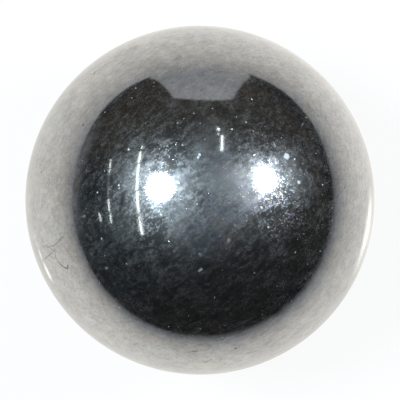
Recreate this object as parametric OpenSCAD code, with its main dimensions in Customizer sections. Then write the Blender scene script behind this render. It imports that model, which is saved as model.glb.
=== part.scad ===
// Polished steel ball.
// One solid piece: a true sphere, forged from wire, hardened, ground and lapped,
// with no flat, hole or seam left on it.
// Millimetres, +Z up, with the origin at the centre of the ball.

/* [Ball] */
// Diameter of the ball (25.4 is the 1 inch size)
ball_d = 25.4; // [1:0.1:150]

/* [Hidden] */
// Segments round the ball where OpenSCAD draws it as a mesh
$fn = 180;
steel = [0.76, 0.77, 0.78];

module ball() {
    color(steel) sphere(d = ball_d);
}

ball();
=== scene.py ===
import math

import bpy
import numpy as np
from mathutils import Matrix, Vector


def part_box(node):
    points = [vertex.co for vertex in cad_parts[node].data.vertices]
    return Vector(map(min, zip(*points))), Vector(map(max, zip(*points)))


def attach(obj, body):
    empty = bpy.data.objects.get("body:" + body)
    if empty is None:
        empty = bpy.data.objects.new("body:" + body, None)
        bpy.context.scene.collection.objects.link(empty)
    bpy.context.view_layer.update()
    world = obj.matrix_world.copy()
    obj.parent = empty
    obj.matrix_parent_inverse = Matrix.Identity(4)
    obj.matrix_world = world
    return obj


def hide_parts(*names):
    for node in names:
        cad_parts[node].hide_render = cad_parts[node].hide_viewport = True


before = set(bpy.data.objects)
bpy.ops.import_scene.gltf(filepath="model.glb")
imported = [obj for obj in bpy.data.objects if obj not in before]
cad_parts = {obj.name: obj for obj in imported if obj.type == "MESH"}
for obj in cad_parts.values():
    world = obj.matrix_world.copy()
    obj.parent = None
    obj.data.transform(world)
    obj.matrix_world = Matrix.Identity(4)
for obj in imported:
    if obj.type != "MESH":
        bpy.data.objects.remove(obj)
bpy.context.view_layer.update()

scene = bpy.context.scene
scene.view_settings.view_transform = "Standard"

mmPerMetre = 1000
ballLow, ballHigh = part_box("ball")
ballRadius = (ballHigh[2] - ballLow[2]) / 2     # metres
ballRadiusMm = ballRadius * mmPerMetre
floorLevel = ballLow[2]
print("frame loaded, ball radius", round(ballRadiusMm, 3), "mm")


def placeAt(tilt, bearing, distance):
    # The point at this distance from the ball's centre, tilted this far from straight up
    # towards this bearing, in degrees from +X
    tilt, bearing = math.radians(tilt), math.radians(bearing)
    out = distance * math.sin(tilt)
    return out * math.cos(bearing), out * math.sin(bearing), distance * math.cos(tilt)


def levelAt(bearing, distance=1):
    # The same for a point level with the ball's centre
    return placeAt(90, bearing, distance)


def onBall(tilt, bearing):
    # A point of the ball's surface, in millimetres
    return placeAt(tilt, bearing, ballRadiusMm)


def pick(sockets, key):
    # A socket by its place in the list, or the first one in use that has this name
    if isinstance(key, int):
        return sockets[key]
    return next(socket for socket in sockets if socket.enabled and socket.name == key)


class Wire:
    # One output socket. Arithmetic on values adds Math nodes, on vectors and colours Vector Math nodes
    def __init__(self, graph, socket):
        self.graph = graph
        self.socket = socket
        self.isVector = socket.type in ("VECTOR", "RGBA")

    def combine(self, operation, *terms):
        if not any(isinstance(term, tuple) or getattr(term, "isVector", False) for term in terms):
            return self.graph.node("Math", {"operation": operation}, dict(enumerate(terms)))["Value"]
        spread = [(term,) * 3 if isinstance(term, (int, float)) else term for term in terms]
        return self.graph.node("VectorMath", {"operation": operation}, dict(enumerate(spread)))["Vector"]

    def __add__(self, other):
        return self.combine("ADD", self, other)

    def __radd__(self, other):
        return self.combine("ADD", other, self)

    def __sub__(self, other):
        return self.combine("SUBTRACT", self, other)

    def __rsub__(self, other):
        return self.combine("SUBTRACT", other, self)

    def __mul__(self, other):
        return self.combine("MULTIPLY", self, other)

    def __truediv__(self, other):
        return self.combine("DIVIDE", self, other)

    def __rtruediv__(self, other):
        return self.combine("DIVIDE", other, self)

    def __pow__(self, other):
        return self.combine("POWER", self, other)

    def atLeast(self, other):
        return self.combine("MAXIMUM", self, other)

    def atMost(self, other):
        return self.combine("MINIMUM", self, other)

    def exponent(self):
        return self.graph.node("Math", {"operation": "EXPONENT"}, {0: self})["Value"]

    def dot(self, other):
        return self.graph.node("VectorMath", {"operation": "DOT_PRODUCT"}, {0: self, 1: other})["Value"]

    def length(self):
        return self.graph.node("VectorMath", {"operation": "LENGTH"}, {0: self})["Value"]

    def scaled(self, amount):
        # A vector made longer, or a colour made brighter, by one value
        return self.graph.scaled(self, amount)

    def parts(self):
        split = self.graph.node("SeparateXYZ", {}, {0: self})
        return split["X"], split["Y"], split["Z"]

    def ramp(self, start, end, low=0.0, high=1.0):
        # Smooth step from low at start to high at end, flat outside
        settings = {"interpolation_type": "SMOOTHSTEP"}
        values = {"Value": self, "From Min": start, "From Max": end, "To Min": low, "To Max": high}
        return self.graph.node("MapRange", settings, values)["Result"]


class Graph:
    # The node tree of one material or of the world
    def __init__(self, owner):
        owner.use_nodes = True
        self.tree = owner.node_tree
        self.tree.nodes.clear()

    def node(self, kind, settings, values):
        # A node of this type: its settings first, then the value or the link of each socket
        made = self.tree.nodes.new("ShaderNode" + kind)
        for name, setting in settings.items():
            setattr(made, name, setting)
        for key, value in values.items():
            socket = pick(made.inputs, key)
            if isinstance(value, Wire):
                self.tree.links.new(value.socket, socket)
            else:
                socket.default_value = value
        return {socket.name: Wire(self, socket) for socket in made.outputs if socket.enabled}

    def scaled(self, vector, amount):
        return self.node("VectorMath", {"operation": "SCALE"}, {0: vector, "Scale": amount})["Vector"]

    def mixColour(self, factor, first, second):
        # Colours are wires, or a red, green and blue part
        ends = [(*colour, 1) if isinstance(colour, tuple) else colour for colour in (first, second)]
        values = {"Factor": factor, "A": ends[0], "B": ends[1]}
        return self.node("Mix", {"data_type": "RGBA"}, values)["Result"]

    def noise(self, point, perUnit, detail, roughness, output="Fac"):
        values = {"Vector": point, "Scale": perUnit, "Detail": detail, "Roughness": roughness}
        return self.node("TexNoise", {}, values)[output]

    def place(self):
        # The place on the piece, from its origin
        return self.node("TexCoord", {}, {})["Object"]

    def finish(self, surface, kind="OutputMaterial"):
        self.node(kind, {}, {"Surface": surface})


def newMaterial(name):
    material = bpy.data.materials.new(name)
    return material, Graph(material)


def newObject(name, data):
    made = bpy.data.objects.new(name, data)
    scene.collection.objects.link(made)
    return made


def newMesh(name, points, faces, material):
    mesh = bpy.data.meshes.new(name)
    mesh.from_pydata(points.tolist(), [], faces.tolist())
    mesh.materials.append(material)
    return mesh


def gridFaces(across, up):
    # The squares of a grid of points, row by row, with this many squares each way
    column, row = np.meshgrid(np.arange(across), np.arange(up))
    corner = (row * (across + 1) + column).ravel()
    return np.stack([corner, corner + 1, corner + across + 2, corner + across + 1], axis=1)


cameraView = {
    "height": 0.162,                # lens to the ball's centre, in metres
    "clipStart": 0.01,              # nearest thing that it sees, in metres
    "framePx": 400,                 # side of the square frame
    "outlinePx": 174.5,             # radius of the ball's outline in it
    "centrePx": (199.91, 200.12),   # centre of the outline, from the top left corner
}


def addCamera(view):
    # A ball seen from height h has an outline of half angle asin(radius / h)
    data = bpy.data.cameras.new("camera")
    halfAngle = math.asin(ballRadius / view["height"])
    data.lens = data.sensor_width * view["outlinePx"] / view["framePx"] / math.tan(halfAngle)
    data.clip_start = view["clipStart"]
    pixel = view["height"] * data.sensor_width / data.lens / view["framePx"]
    middle = view["framePx"] / 2
    right, down = view["centrePx"]
    camera = newObject("camera", data)
    camera.location = ((middle - right) * pixel, (down - middle) * pixel, view["height"])
    scene.camera = camera
    print("camera straight above, lens", round(data.lens, 1), "mm")


addCamera(cameraView)


ballShape = {
    "steps": 96,            # squares along one side of each of the six patches
    "mapLayout": (3, 2),    # patches across and up in the flat map
    "mapMargin": 0.004,     # empty edge round each patch there
    "mergeSteps": 1e7,      # steps along a radius that tell two points apart
}


def ballSurface(radius, shape):
    # Six square patches cover the ball. On each, a and b run evenly from -45 to 45 degrees, and the
    # point is radius * (tan a, tan b, 1) / |(tan a, tan b, 1)|, turned to +X, -X, +Y, -Y, +Z or -Z
    steps, margin = shape["steps"], shape["mapMargin"]
    columns, rows = shape["mapLayout"]
    slope = np.tan(np.linspace(-math.pi / 4, math.pi / 4, steps + 1))
    across, up = np.meshgrid(slope, slope)
    sheet = np.stack([across, up, np.ones_like(across)], axis=-1).reshape(-1, 3)
    sheet /= np.linalg.norm(sheet, axis=1, keepdims=True)
    squares = gridFaces(steps, steps)
    even = np.linspace(margin, 1 - margin, steps + 1)
    flat = np.stack(np.meshgrid(even, even), axis=-1).reshape(-1, 2)

    points, faces, mapped = [], [], []
    sides = [(axis, sign) for axis in range(3) for sign in (1, -1)]
    for patch, (axis, sign) in enumerate(sides):
        facing = np.zeros(3)
        facing[axis] = sign
        right = np.roll(facing, 1) * sign
        upward = np.cross(facing, right)
        points.append(sheet @ np.array([right, upward, facing]))
        faces.append(squares + patch * len(sheet))
        mapped.append((flat + (patch % columns, patch // columns)) / (columns, rows))
    return np.concatenate(points) * radius, np.concatenate(faces), np.concatenate(mapped)


def makeBall(shape, material):
    points, faces, mapped = ballSurface(ballRadius, shape)
    # The patches share their edges, so points at the same place become one
    keys = np.round(points / ballRadius * shape["mergeSteps"]).astype(np.int64)
    _, first, joined = np.unique(keys, axis=0, return_index=True, return_inverse=True)
    mesh = newMesh("steelBall", points[first], joined.ravel()[faces], material)
    flatMap = mesh.uv_layers.new(name="OFBake")
    flatMap.data.foreach_set("uv", mapped[faces.ravel()].astype(np.float32).ravel())
    mesh.shade_smooth()
    print("ball,", len(mesh.polygons), "faces")
    return newObject("steelBall", mesh)


# Tilts and bearings are in degrees, as placeAt takes them, and lengths in millimetres. An edge says how
# far out a spot or line is still whole and where it ends, in its radii or half widths. Any other pair
# for a noise, a height or a side says where something starts and where it is whole
steelFinish = {
    "high": (0.66, 0.95),       # what counts as high on the ball, in its radii
    "warp": (2.0, 2.0, 0.5),    # the noise that shifts outlines, with three values as below
    "noises": {
        # features along a millimetre, detail and roughness
        "cloud": (0.22, 3.0, 0.55),
        "patch": (1.0, 2.0, 0.6),
        "mottle": (3.6, 3.0, 0.62),
        "grain": (6.0, 2.0, 0.7),
        "etch": (6.5, 2.0, 0.65),
        "bloom": (4.6, 2.0, 0.6),
        "violet": (1.6, 2.0, 0.6),
        "ripple": (1.1, 1.0, 0.5),
    },
    "wipedNoises": {
        # the same, but drawn out along the way that a cloth went
        "streak": (3.4, 2.0, 0.6),
        "hue": (0.5, 2.0, 0.5),
        "tint": (1.6, 2.0, 0.6),
    },
    "wipeBearing": 40.0,
    "wipeStretch": 2.5,         # how many times longer they are that way
    "film": {
        # a thin hazy film, which shows wherever a lamp shines on it
        "cover": 0.44,          # it covers a share of 1 - e^(-cover * thickness)
        "rough": 0.41,
        "ior": 3.6,
        "patches": {"cloud": 1.8, "patch": 2.8, "mottle": 2.6, "grain": 4.0, "streak": 4.8},
        "least": 0.3,           # its least thickness
        "low": 0.4,             # share of it, and of rough etching, low on the ball
        "drops": {"perMm": 3.0, "radius": (0.05, 0.11), "often": 0.5, "edge": (0.2, 1.2), "thick": 2.0},
        "blotEdge": (0.2, 1.6),
        "blots": [
            # where it is thicker or thinner: tilt, bearing, radius and strength
            (8.7, 43.6, 1.2, 1.3),
            (8.5, 128.4, 0.9, 0.8),
            (18.6, 84.5, 1.5, 1.0),
            (12.5, 0.0, 1.0, 0.7),
            (8.9, 315.7, 1.0, 0.8),
            (8.5, 226.5, 1.2, 0.6),
            (31.6, 26.0, 1.1, 0.6),
            (33.4, 10.0, 1.1, 0.6),
            (19.3, 123.5, 1.1, -0.5),
            (29.7, 47.2, 1.2, -0.4),
            (26.7, 356.4, 1.3, -0.5),
            (35.0, 345.0, 1.5, -0.5),
            (19.8, 219.3, 1.0, -0.4),
            (35.0, 168.2, 1.2, -0.4),
            (33.8, 125.0, 1.3, -0.4),
            (22.5, 103.0, 1.3, -0.5),
            (16.1, 110.5, 1.1, -0.3),
            (17.4, 22.8, 1.5, 0.8),
            (17.6, 209.8, 1.1, -0.8),
            (18.9, 302.6, 1.6, -0.4),
            (16.1, 270.8, 1.2, -0.2),
            (23.1, 160.0, 1.2, 0.6),
            (26.0, 200.0, 1.0, 0.4),
            (22.5, 350.2, 1.0, -0.4),
            (13.3, 130.8, 0.8, -0.6),
            (10.9, 41.6, 0.9, 0.95),
            (15.8, 61.0, 0.6, 0.4),
            (31.5, 13.5, 0.7, 0.25),
            (14.1, 354.7, 0.5, 0.8),
        ],
        "lineEdge": (0.0, 2.0),
        "lineWarp": 0.3,            # how far the warp shifts the lines
        "lineMottle": (0.35, 0.65),
        "lines": [
            # wiped lines: tilt and bearing of both ends, half width and strength
            ((11.0, 336.0), (17.5, 1.5), 0.22, 2.4),
            ((9.5, 128.0), (13.2, 93.0), 0.22, 1.6),
        ],
    },
    "etching": {
        # patches of tiny pits, at the peaks of a noise
        "level": 0.13,          # how far over its middle the noise has to be
        "softness": 0.17,
        "patches": {"etch": 1.0, "cloud": 0.2, "patch": 0.3},
        "worn": 0.10,           # how much lower the level is on the worn side, towards +X
        "wornSide": (0.0, 0.6), # how far out that side is, in the ball's radii
    },
    "tarnish": {
        # faint colours in the pits, in soft dull spots and on the crown
        "spots": (0.56, 0.86),      # noise
        "crown": (0.925, 0.99),     # height on the ball, in its radii
        "onCrown": 0.6,             # share of the colours there
        "dullCrown": 0.05,          # share of it that no longer mirrors
        "fullPits": 0.3,            # share of etching from which it has the whole colours
        "fullSpots": 0.4,           # and share of a spot from which that has
        "tan": (0.71, 0.57, 0.43),
        "blue": (0.42, 0.60, 0.70),
        "violet": (0.59, 0.52, 0.73),
        "toBlue": (0.38, 0.58),     # noise between tan and blue
        "toViolet": (0.48, 0.62),   # and between these and violet
    },
    "dust": {
        "colour": (0.72, 0.75, 0.78),
        "heights": (0.3, 0.97),     # where it settles, in the ball's radii
        "onSides": 0.1,             # share of it lower down
        "heaps": (0.3, 0.7),        # cloud noise in which more of it lies
        "between": 0.25,            # share of it between these
        "edge": (0.3, 1.1),
        "warp": 0.6,                # how far the warp shifts the specks
        "layers": [
            # specks along a millimetre, smallest and largest radius, how often, and how thick
            {"perMm": 1.1, "radius": (0.05, 0.20), "often": 0.45, "thick": 0.3},
            {"perMm": 2.3, "radius": (0.03, 0.085), "often": 0.6, "thick": 0.6},
        ],
        "fleckEdge": (0.5, 1.3),
        "fleckWarp": 1.5,           # how far it shifts the largest ones, in their radii
        "flecks": [
            # the largest ones: tilt, bearing, radius and how thick
            (31.4, 26.8, 0.20, 0.9),
            (13.2, 92.5, 0.09, 0.9),
            (14.0, 90.5, 0.09, 0.9),
            (32.6, 10.2, 0.12, 0.9),
            (24.5, 65.8, 0.07, 0.9),
            (33.5, 175.7, 0.06, 0.9),
            (27.9, 144.5, 0.07, 0.9),
            (26.2, 169.7, 0.07, 0.9),
            (37.7, 62.8, 0.06, 0.9),
            (33.7, 23.3, 0.07, 0.9),
            (19.3, 353.3, 0.07, 0.9),
            (23.2, 338.4, 0.07, 0.9),
            (27.8, 93.9, 0.06, 0.35),
            (26.4, 101.2, 0.05, 0.35),
            (25.4, 106.0, 0.06, 0.35),
            (29.7, 82.3, 0.055, 0.35),
            (29.1, 66.4, 0.055, 0.35),
            (17.9, 107.5, 0.06, 0.45),
            (18.9, 85.4, 0.055, 0.35),
            (29.1, 59.4, 0.07, 0.45),
            (27.9, 52.3, 0.055, 0.35),
            (33.5, 37.5, 0.05, 0.35),
            (44.0, 36.5, 0.05, 0.35),
            (42.6, 22.0, 0.055, 0.35),
            (42.0, 7.1, 0.06, 0.6),
            (32.0, 349.2, 0.055, 0.35),
            (45.1, 337.0, 0.055, 0.35),
            (28.5, 10.2, 0.055, 0.35),
            (31.4, 221.1, 0.06, 0.35),
            (36.4, 210.2, 0.05, 0.35),
        ],
    },
    "dents": {
        "warp": 0.4,
        "layers": [
            # dents along a millimetre, smallest and largest radius, how often, and depth in radii
            {"perMm": 1.9, "radius": (0.05, 0.14), "often": 0.13, "deep": 0.12},
            {"perMm": 3.7, "radius": (0.03, 0.07), "often": 0.16, "deep": 0.14},
        ],
    },
    "rippleDeep": 0.0004,       # height of the polish's slow ripple
    "scratchEdge": (0.6, 1.5),
    "scratchWarp": 0.12,
    "scratches": [
        # half width and how dark, then tilt and bearing of each bend
        (0.045, 0.5, [(58.0, 199.3), (59.0, 202.2), (57.9, 204.7), (56.3, 206.3)]),
        (0.065, 0.55, [(56.3, 206.3), (54.9, 207.3), (53.9, 206.5)]),
        (0.045, 0.35, [(50.5, 194.9), (54.0, 196.3), (57.1, 197.3), (62.6, 197.1)]),
        (0.045, 0.35, [(65.3, 196.7), (61.4, 196.2)]),
        (0.045, 0.32, [(57.6, 198.6), (61.5, 199.9), (67.6, 200.9)]),
        (0.04, 0.3, [(60.9, 197.4), (58.0, 199.3)]),
        (0.06, 0.4, [(66.5, 130.4), (67.5, 129.2), (67.1, 128.2)]),
        (0.045, 0.35, [(66.6, 127.7), (66.9, 125.3), (66.1, 122.9), (64.7, 120.8)]),
        (0.04, 0.25, [(74.0, 133.8), (71.7, 132.0), (68.2, 130.6)]),
        (0.05, 0.4, [(56.6, 267.1), (56.0, 269.1)]),
        (0.05, 0.4, [(64.0, 271.5), (62.0, 274.4)]),
    ],
    "pitEdge": (0.6, 1.3),
    "pits": [
        # tilt, bearing, radius and how dark
        (49.3, 147.3, 0.11, 0.5),
        (63.3, 169.9, 0.10, 0.5),
        (66.8, 129.8, 0.12, 0.5),
        (57.1, 283.6, 0.12, 0.4),
        (67.7, 278.7, 0.10, 0.3),
        (66.6, 288.7, 0.10, 0.3),
    ],
    "stainEdge": (0.3, 1.2),
    "stainWarp": 1.0,           # in their radii
    "stains": [
        # dull patches: tilt, bearing, radius and how dark
        (67.7, 117.8, 0.8, 0.16),
        (68.8, 113.5, 0.7, 0.12),
        (66.0, 142.0, 0.9, 0.10),
        (62.0, 199.0, 0.6, 0.10),
    ],
    "warmSteel": (0.573, 0.567, 0.556),     # colour of the mirror where it is warmest
    "coolSteel": (0.557, 0.567, 0.574),     # and where it is coolest
    "toCool": (0.35, 0.65),                 # noise between them
    "shading": {"cloud": 0.25, "patch": 0.48, "grain": 0.54, "streak": 0.54},
    "rough": {
        "clean": 0.07,
        "smeared": 0.10,
        "smears": (0.35, 0.7),      # cloud noise
        "spotted": 0.25,
        "dented": 0.2,
        "fullDents": 0.2,           # share of a dent's depth from which it is that rough
        "etched": 0.42,
        "marks": 1.6,               # share of it in a scratch or pit, for each share of darkness
        "dusty": 0.8,
    },
}


def layered(noises, amounts):
    # Each noise less its middle, times its amount, added up
    return sum((noises[name] - 0.5) * amount for name, amount in amounts.items())


def spotOn(place, spot, edge, warp=None, wander=0.0):
    # A round spot: tilt, bearing, radius and strength. The warp shifts it by wander, in its radii
    tilt, bearing, radius, strength = spot
    if wander:
        place = place + warp * (radius * wander)
    away = (place - onBall(tilt, bearing)).length()
    return away.ramp(radius * edge[0], radius * edge[1], strength, 0.0)


def lineOn(place, start, end, half, edge, strength):
    # A straight line between two tilts and bearings. The distance of a point p from it is
    # |p - start - s (end - start)|, with s the nearest share of the way, from 0 to 1
    start, end = onBall(*start), onBall(*end)
    run = np.subtract(end, start)
    fromStart = place - start
    share = fromStart.dot(tuple(run / run.dot(run))).atLeast(0.0).atMost(1.0)
    away = (fromStart - place.graph.scaled(tuple(run), share)).length()
    return away.ramp(half * edge[0], half * edge[1], strength, 0.0)


chanceEdge = 0.02       # softness of the step between a spot that is there and one that isn't


def cellsOn(place, layer, often):
    # Spots at the points of a cell pattern, of which this share is there: how far off the nearest is in
    # its radii, its radius, a strength from 0 to 1, and 1 where it is there
    cells = place.graph.node("TexVoronoi", {}, {"Vector": place, "Scale": layer["perMm"]})
    chance, size, strength = cells["Color"].parts()
    small, large = layer["radius"]
    radius = size ** 2.0 * (large - small) + small      # squared, so that few are large
    there = (often - chance).ramp(0.0, chanceEdge)
    return cells["Distance"] / layer["perMm"] / radius, radius, strength, there


def noisesOn(graph, place, finish):
    # Every noise of the finish, by name
    noises = {name: graph.noise(place, *values) for name, values in finish["noises"].items()}
    along = levelAt(finish["wipeBearing"])
    wiped = place + graph.scaled(along, place.dot(along) * (1 / finish["wipeStretch"] - 1))
    for name, values in finish["wipedNoises"].items():
        noises[name] = graph.noise(wiped, *values)
    return noises


def filmOn(place, warp, noises, left, film):
    # How much of the steel the film covers, with this share of it left at each place
    thick = layered(noises, film["patches"]).exponent()
    for blot in film["blots"]:
        thick = thick + spotOn(place, blot, film["blotEdge"])
    broken = noises["mottle"].ramp(*film["lineMottle"])
    warped = place + warp * film["lineWarp"]
    for start, end, half, strength in film["lines"]:
        thick = thick + lineOn(warped, start, end, half, film["lineEdge"], strength) * broken
    drops = film["drops"]
    reach, _, strength, there = cellsOn(place, drops, drops["often"])
    thick = thick + reach.ramp(*drops["edge"], drops["thick"], 0.0) * strength * there
    return 1.0 - (thick.atLeast(film["least"]) * left * -film["cover"]).exponent()


def etchingOn(east, noises, etching):
    worn = east.ramp(*etching["wornSide"]) * etching["worn"]
    peaks = layered(noises, etching["patches"]) + worn
    return peaks.ramp(etching["level"], etching["level"] + etching["softness"])


def dustOn(place, warp, noises, up, dust):
    # Specks, more of them where more dust has settled, and the largest flecks
    settled = up.ramp(*dust["heights"], dust["onSides"], 1.0)
    settled = settled * noises["cloud"].ramp(*dust["heaps"], dust["between"], 1.0)
    cover = 0.0
    for layer in dust["layers"]:
        often = settled * layer["often"]
        reach, _, strength, there = cellsOn(place + warp * dust["warp"], layer, often)
        speck = reach.ramp(*dust["edge"], 1.0, 0.0) * strength * there * layer["thick"]
        cover = speck.atLeast(cover)
    for fleck in dust["flecks"]:
        cover = spotOn(place, fleck, dust["fleckEdge"], warp, dust["fleckWarp"]).atLeast(cover)
    return cover


def dentsOn(place, warp, dents):
    # How much of each place is dented, and the height there in millimetres
    dented, height = 0.0, 0.0
    for layer in dents["layers"]:
        reach, radius, _, there = cellsOn(place + warp * dents["warp"], layer, layer["often"])
        inside = reach.ramp(0.0, 1.0, 1.0, 0.0) * there
        dented = inside.atLeast(dented)
        height = height - inside * radius * layer["deep"]
    return dented, height


def marksOn(place, warp, finish):
    # How dark the scratches and pits make each place
    marks = 0.0
    warped = place + warp * finish["scratchWarp"]
    for half, dark, bends in finish["scratches"]:
        for start, end in zip(bends[:-1], bends[1:]):
            marks = lineOn(warped, start, end, half, finish["scratchEdge"], dark).atLeast(marks)
    for pit in finish["pits"]:
        marks = spotOn(place, pit, finish["pitEdge"]).atLeast(marks)
    return marks


def steelColour(graph, place, warp, noises, tarnished, finish):
    cool = noises["hue"].ramp(*finish["toCool"])
    steel = graph.mixColour(cool, finish["warmSteel"], finish["coolSteel"])
    tarnish = finish["tarnish"]
    tint = graph.mixColour(noises["tint"].ramp(*tarnish["toBlue"]), tarnish["tan"], tarnish["blue"])
    tint = graph.mixColour(noises["violet"].ramp(*tarnish["toViolet"]), tint, tarnish["violet"])
    shade = 1.0 + layered(noises, finish["shading"])
    for stain in finish["stains"]:
        shade = shade - spotOn(place, stain, finish["stainEdge"], warp, finish["stainWarp"])
    return graph.mixColour(tarnished, steel, tint).scaled(shade)


def makeSteel(finish):
    material, graph = newMaterial("polishedSteel")
    place = graph.place() * mmPerMetre
    east, _, up = (place / ballRadiusMm).parts()
    high = up.ramp(*finish["high"])
    warp = graph.noise(place, *finish["warp"], "Color") - 0.5
    noises = noisesOn(graph, place, finish)

    film, tarnish, to = finish["film"], finish["tarnish"], finish["rough"]
    left = film["low"] + high * (1 - film["low"])
    cover = filmOn(place, warp, noises, left, film)
    etched = etchingOn(east, noises, finish["etching"])
    dust = dustOn(place, warp, noises, up, finish["dust"])
    dented, dents = dentsOn(place, warp, finish["dents"])
    marks = marksOn(place, warp, finish)

    crown = up.ramp(*tarnish["crown"])
    spots = noises["bloom"].ramp(*tarnish["spots"]) * high
    inPits = (etched * high).ramp(0.0, tarnish["fullPits"])
    inSpots = spots.ramp(0.0, tarnish["fullSpots"])
    tarnished = inPits.atLeast(inSpots).atLeast(crown * tarnish["onCrown"])
    steel = steelColour(graph, place, warp, noises, tarnished, finish)
    colour = graph.mixColour(dust, steel.scaled(1.0 - marks), finish["dust"]["colour"])

    # Each layer pulls the roughness from what it is to the layer's own
    rough = noises["cloud"].ramp(*to["smears"], to["clean"], to["smeared"])
    rough = rough + spots * (to["spotted"] - rough)
    rough = rough + dented.ramp(0.0, to["fullDents"]) * (to["dented"] - rough)
    rough = rough + (marks * to["marks"]).atLeast(etched * left) * (to["etched"] - rough)
    rough = rough + dust * (to["dusty"] - rough)

    height = (dents + noises["ripple"] * finish["rippleDeep"]) * (1 / mmPerMetre)
    bump = graph.node("Bump", {}, {"Strength": 1.0, "Distance": 1.0, "Height": height})
    values = {
        "Base Color": colour,
        "Metallic": (1.0 - dust) * (1.0 - crown * tarnish["dullCrown"]),
        "Roughness": rough,
        "Coat Weight": cover,
        "Coat Roughness": film["rough"],
        "Coat IOR": film["ior"],
        "Normal": bump["Normal"],
    }
    graph.finish(graph.node("BsdfPrincipled", {}, values)["BSDF"])
    print("polished steel,", len(graph.tree.nodes), "nodes")
    return material


polishedSteel = makeSteel(steelFinish)
steelBall = makeBall(ballShape, polishedSteel)
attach(steelBall, "root")
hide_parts("ball")


white = (1.0, 1.0, 1.0)

# A low band of daylight, in the room, and painted as light on the floor past the sheet
daylight = {
    "bearing": 170.0,
    "spread": (0.85, 0.99),             # cosine of the angle off that bearing, at its edge and inside
    "height": 0.16,                     # how far up it ends, for a direction of length 1
    "colour": (0.13, 0.135, 0.145),     # in the room
    # tone is the painted daylight on the floor past the sheet
    "tone": 0.135,                      # past the sheet
}


def towardsDaylight(direction):
    # 1 for directions well inside the daylight's spread, and 0 outside it
    return direction.dot(levelAt(daylight["bearing"])).ramp(*daylight["spread"])


# The white sheet under the ball, as the steel mirrors it: for glossy rays it glows with painted light
# and shade. Distances are in the ball's radii
sheetLook = {
    "size": 3.0,                        # metres
    # warm and cool are the tint of the painted light where it is bright and where it is dim
    "warm": (1.0, 0.965, 0.91),         # its colour where its tone is bright
    "cool": (0.95, 0.97, 1.03),         # and where it is dark
    "toWarm": (0.25, 0.55),             # tones over which cool turns into warm
    "matt": 0.9,                        # share of the real light that it gives back
    "litShare": 0.10,                   # how much of its tone is real light and shadow
    "footShare": 0.85,                  # and at the ball's foot
    "foot": (0.5, 1.1),                 # out to where the foot is whole, and where it ends
    "litReach": (6.0, 20.0),            # and the same for that light
    "centre": 0.01,                     # nearer the middle than this, x / r and y / r fall to 0
    "mirroredFrom": (0.76, 1.65),       # what mirrors its far end: how far out on the ball, and how high
    "shortest": 0.2,                    # least distance from there to a place on the sheet
    "endBlur": 0.012,
    # Tones of the painted light and slopes: a plain part, then parts for x / r, y / r, (x^2 - y^2) / r^2
    # and 2 x y / r^2
    "near": (0.876, 0.051, 0.055, -0.011, 0.039),       # tone beside the ball
    "end": (0.118, 0.053, 0.038, -0.064, 0.0),          # slope at which the ball looks down on its end
    "low": (0.204, -0.063, 0.224, -0.057, 0.015),       # tone at that end
    "rise": (0.348, 0.040, 0.130, -0.073, -0.011),      # how far below the end the tone takes to rise
    "corners": 0.14,                    # how much further it goes on behind the ball
    "cornerPower": 8.0,                 # it grows with this power of y / r
    "fade": 0.75,                       # how fast the tone falls there
    "beyond": 0.012,                    # tone past its end, away from the daylight
    "beyondBack": 0.026,                # and behind the ball
    "toBack": (0.0, 0.8),               # y / r over which the first turns into the second
    "glintEdge": (0.2, 1.0),            # radii out to which a glint is whole, and where it ends
    "paintedGlints": [
        # painted patches of light where the ball throws light on it: distance, bearing, radius and what
        # each adds to the tone
        (1.69, -2.0, 0.24, 0.40),
        (1.72, -9.5, 0.32, 0.70),
        (1.71, -16.5, 0.26, 0.45),
        (1.68, -22.5, 0.22, 0.18),
        (1.30, -11.0, 0.60, 0.12),
        (1.85, 198.8, 0.09, 0.70),
        (1.87, 205.2, 0.16, 0.95),
        (1.84, 194.0, 0.22, 0.14),
    ],
}

# The raised end of the sheet behind the ball, in metres, and the flat strip that leads to it, in radii
sweepLook = {
    "half": 0.109,                      # half its width
    "start": 0.27,                      # where it starts to rise, from the ball
    "lean": 0.03,                       # how much further off its top is
    "bow": 0.071,                       # and its top corners, on top of that
    "shift": 0.012,                     # how much further right its top is
    "top": 0.131,                       # height of its top
    "curve": 1.4,                       # power with which it rises
    "steps": (24, 16),                  # squares across and up
    "tone": (0.33, 0.38),               # at its foot and at its top
    "colour": (0.95, 0.97, 1.03),
    # stripTone is the painted light of that strip on the sheet
    "stripTone": 0.38,
    "stripBlur": 0.3,                   # of both sides of the strip
    "stripFrom": (0.0, 1.0),            # how far behind the ball the strip starts and is whole
    "stripPast": 6.0,                   # how far past the start of the rise it goes on
    "stripEnd": 0.5,                    # blur of its end
}


def leadingStrip(east, north, sweep):
    # The painted light of the strip that leads to the raised end, between straight lines from the ball
    spread = sweep["half"] / sweep["start"]
    blur = sweep["stripBlur"]
    inside = ((east * east) ** 0.5 - north * spread).ramp(blur, -blur)
    end = sweep["start"] / ballRadius + sweep["stripPast"]
    inside = inside * north.ramp(*sweep["stripFrom"]) * (end - north).ramp(0.0, sweep["stripEnd"])
    return inside * sweep["stripTone"]


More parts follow.
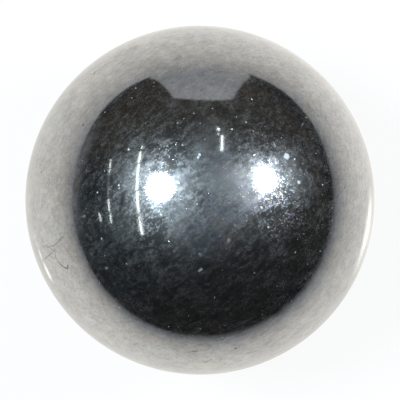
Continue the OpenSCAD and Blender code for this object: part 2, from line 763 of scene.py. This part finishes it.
def paintedSheetLight(place, look, sweep):
    # The painted light and shade on the sheet that the steel mirrors, from the place on the sheet in
    # radii
    # drop = slope at which the ball looks down on the place, and
    # tone = near + (low - near) e^(-(drop - end) / rise), next to nothing past the edge
    east, north, _ = place.parts()
    away = (east * east + north * north) ** 0.5
    cosine = east / away.atLeast(look["centre"])
    sine = north / away.atLeast(look["centre"])
    turns = [cosine, sine, cosine * cosine - sine * sine, cosine * sine * 2.0]
    near, end, low, rise = [
        sum((turn * part for turn, part in zip(turns, look[name][1:])), look[name][0])
        for name in ("near", "end", "low", "rise")
    ]
    out, above = look["mirroredFrom"]
    drop = above / (away - out).atLeast(look["shortest"])
    past = end - drop
    tone = near + (low - near) * (past.atMost(0.0) / rise).exponent() - past.atLeast(0.0) * look["fade"]
    flat = place * (1.0, 1.0, 0.0)
    whole, ends = look["glintEdge"]
    for distance, bearing, radius, extra in look["paintedGlints"]:
        reach = (flat - levelAt(bearing, distance)).length()
        tone = tone + reach.ramp(radius * whole, radius * ends, extra, 0.0)
    edge = end - sine.atLeast(0.0) ** look["cornerPower"] * look["corners"]
    inside = (drop - edge).ramp(-look["endBlur"], look["endBlur"])
    beyond = sine.ramp(*look["toBack"], look["beyond"], look["beyondBack"])
    beyond = beyond + towardsDaylight(place / away) * (daylight["tone"] - beyond)
    tone = beyond + (tone - beyond) * inside
    return tone.atLeast(leadingStrip(east, north, sweep)), away


def makeFloor(look, sweep):
    # White to the camera, and to the steel it glows in the painted light and shade above. Part of it is
    # real light and shadow
    material, graph = newMaterial("whiteSheet")
    ray = graph.node("LightPath", {}, {})
    glossy = ray["Is Glossy Ray"]
    mirrored, away = paintedSheetLight(graph.place() / ballRadius, look, sweep)
    bright = 1.0 - glossy * (1.0 - mirrored)
    tint = graph.mixColour(mirrored.ramp(*look["toWarm"]), look["cool"], look["warm"])
    colour = graph.mixColour(glossy, white, tint)
    # The painted light and shade, as a glow
    glow = graph.node("Emission", {}, {"Color": colour, "Strength": bright})["Emission"]
    matt = graph.node("BsdfDiffuse", {}, {"Color": colour.scaled(bright * look["matt"])})["BSDF"]
    lit = away.ramp(*look["foot"], look["footShare"], look["litShare"])
    lit = lit * away.ramp(*look["litReach"], 1.0, 0.0)
    seen = ray["Is Camera Ray"].atLeast(glossy).atLeast(ray["Is Transmission Ray"])
    graph.finish(graph.node("MixShader", {}, {0: seen * (1.0 - lit), 1: matt, 2: glow})["Shader"])
    material.cycles.emission_sampling = "NONE"

    half = look["size"] / 2
    corners = np.array([(-half, -half), (half, -half), (-half, half), (half, half)])
    points = np.column_stack([corners, np.full(len(corners), floorLevel)])
    floor = newObject("floor", newMesh("floor", points, gridFaces(1, 1), material))
    print("white sheet")


def makeSweep(look):
    # On u from -1 to 1 across and v from 0 to 1 up:
    # x = half u + shift v, y = start + lean v + bow u^2 v, z = level + (top - level) v^curve
    columns, rows = look["steps"]
    across, up = np.meshgrid(np.linspace(-1, 1, columns + 1), np.linspace(0, 1, rows + 1))
    points = np.stack([
        look["half"] * across + look["shift"] * up,
        look["start"] + look["lean"] * up + look["bow"] * across ** 2 * up,
        floorLevel + (look["top"] - floorLevel) * up ** look["curve"],
    ], axis=-1).reshape(-1, 3)
    material, graph = newMaterial("raisedSheet")
    ray = graph.node("LightPath", {}, {})
    _, _, high = graph.place().parts()
    bright = high.ramp(0.0, look["top"], *look["tone"]) * ray["Is Glossy Ray"]
    glow = graph.node("Emission", {}, {"Color": (*look["colour"], 1), "Strength": bright})
    graph.finish(glow["Emission"])
    material.cycles.emission_sampling = "NONE"
    mesh = newMesh("raisedSheet", points, gridFaces(columns, rows), material)
    raised = newObject("raisedSheet", mesh)
    raised.visible_camera = False
    raised.visible_diffuse = False
    raised.visible_shadow = False
    print("raised end of the sheet")


makeFloor(sheetLook, sweepLook)
makeSweep(sweepLook)


# The dark room as the steel mirrors it. A pair holds parts of a direction of length 1
roomLook = {
    "front": (0.012, 0.012, 0.012),
    "back": (0.036, 0.032, 0.027),
    "toBack": (-0.9, 0.9),              # part to the back, from the front's colour to the back's
    "left": (0.012, 0.017, 0.022),
    "toLeft": (-0.2, -0.9),             # part to the right where that starts and is whole
    "leftPast": (0.6, 0.0),             # and part to the back
    "above": (0.018, 0.02, 0.024),
    "toAbove": (0.5, 1.0),              # part up where that starts and is whole
    "fill": (0.30, 0.31, 0.32),         # soft light on everything that isn't a mirror
}


def makeRoom(look):
    room = bpy.data.worlds.new("room")
    scene.world = room
    graph = Graph(room)
    ray = graph.node("LightPath", {}, {})
    direction = graph.node("TexCoord", {}, {})["Generated"]
    right, back, up = direction.parts()
    around = graph.mixColour(back.ramp(*look["toBack"]), look["front"], look["back"])
    left = right.ramp(*look["toLeft"]) * back.ramp(*look["leftPast"])
    around = graph.mixColour(left, around, look["left"])
    met = towardsDaylight(direction) * up.ramp(0.0, daylight["height"], 1.0, 0.0)
    around = graph.mixColour(met, around, daylight["colour"])
    mirrored = graph.mixColour(up.ramp(*look["toAbove"]), around, look["above"])
    unseen = graph.mixColour(ray["Is Glossy Ray"], look["fill"], mirrored)
    seen = ray["Is Camera Ray"].atLeast(ray["Is Transmission Ray"])
    colour = graph.mixColour(seen, unseen, white)
    sky = graph.node("Background", {}, {"Color": colour, "Strength": 1.0})
    graph.finish(sky["Background"], "OutputWorld")
    room.cycles.sampling_method = "NONE"
    print("room")


makeRoom(roomLook)


# Tilts and bearings are in degrees, as placeAt takes them, and distances and widths in metres
lamps = {
    "leftLamp": {"tilt": 26.3, "bearing": 162.6, "distance": 0.45, "width": 0.126, "radiance": 43.0,
                 "tint": (0.74, 0.90, 1.0)},
    "rightLamp": {"tilt": 44.0, "bearing": 17.4, "distance": 0.45, "width": 0.090, "radiance": 48.0,
                  "tint": (0.78, 0.90, 1.0)},
}


def addLamp(name, lamp):
    # A round lamp that faces the ball. Its power is radiance * pi * area
    data = bpy.data.lights.new(name, "AREA")
    data.shape = "DISK"
    data.size = lamp["width"]
    data.energy = lamp["radiance"] * math.pi * math.pi * (lamp["width"] / 2) ** 2
    data.color = lamp["tint"]
    made = newObject(name, data)
    made.location = placeAt(lamp["tilt"], lamp["bearing"], lamp["distance"])
    made.rotation_euler = (0, math.radians(lamp["tilt"]), math.radians(lamp["bearing"]))
    made.visible_camera = False


for lampName, lamp in lamps.items():
    addLamp(lampName, lamp)
print("lamps,", len(lamps))


tubes = {
    "height": 1.2,          # metres above the ball's centre
    "tint": (0.90, 1.0, 0.98),
    "rows": [
        # width in metres and radiance, then both ends of each lit length, as shares of the height
        {"width": 0.034, "radiance": 5.6, "ends": [
            ((-0.921, 0.858), (-0.921, 0.818)),
            ((-0.923, 0.752), (-0.902, 0.554)),
            ((-0.894, 0.524), (-0.865, 0.139)),
            ((-0.857, 0.113), (-0.830, -0.175)),
            ((-0.824, -0.224), (-0.823, -0.262)),
            ((-0.821, -0.284), (-0.811, -0.485)),
        ]},
        {"width": 0.050, "radiance": 3.6, "ends": [
            ((-2.018, 0.918), (-1.899, 0.584)),
            ((-1.791, 0.022), (-1.767, -0.224)),
            ((-1.724, -0.262), (-1.734, -0.447)),
        ]},
        {"width": 0.050, "radiance": 0.5, "ends": [
            ((-1.895, 0.560), (-1.795, 0.050)),
        ]},
        {"width": 0.075, "radiance": 3.8, "ends": [
            ((-2.521, -0.313), (-2.453, -0.529)),
        ]},
        {"width": 0.042, "radiance": 5.0, "ends": [
            ((0.278, 1.088), (0.276, 1.042)),
        ]},
        {"width": 0.034, "radiance": 3.4, "ends": [
            ((0.260, 0.954), (0.259, 0.934)),
            ((0.320, 0.926), (0.279, 0.626)),
        ]},
    ],
}


def addTube(row, start, end):
    # A straight tube under a ceiling, a long rectangle that shines down
    run = np.subtract(end, start) * tubes["height"]
    data = bpy.data.lights.new("tube", "AREA")
    data.shape = "RECTANGLE"
    data.size = np.hypot(*run)
    data.size_y = row["width"]
    data.energy = row["radiance"] * math.pi * data.size * data.size_y
    data.color = tubes["tint"]
    tube = newObject("tube", data)
    tube.location = (*np.add(start, end) / 2 * tubes["height"], tubes["height"])
    tube.rotation_euler = (0, 0, math.atan2(run[1], run[0]))
    tube.visible_camera = False


for row in tubes["rows"]:
    for start, end in row["ends"]:
        addTube(row, start, end)
print("tubes,", sum(len(row["ends"]) for row in tubes["rows"]))
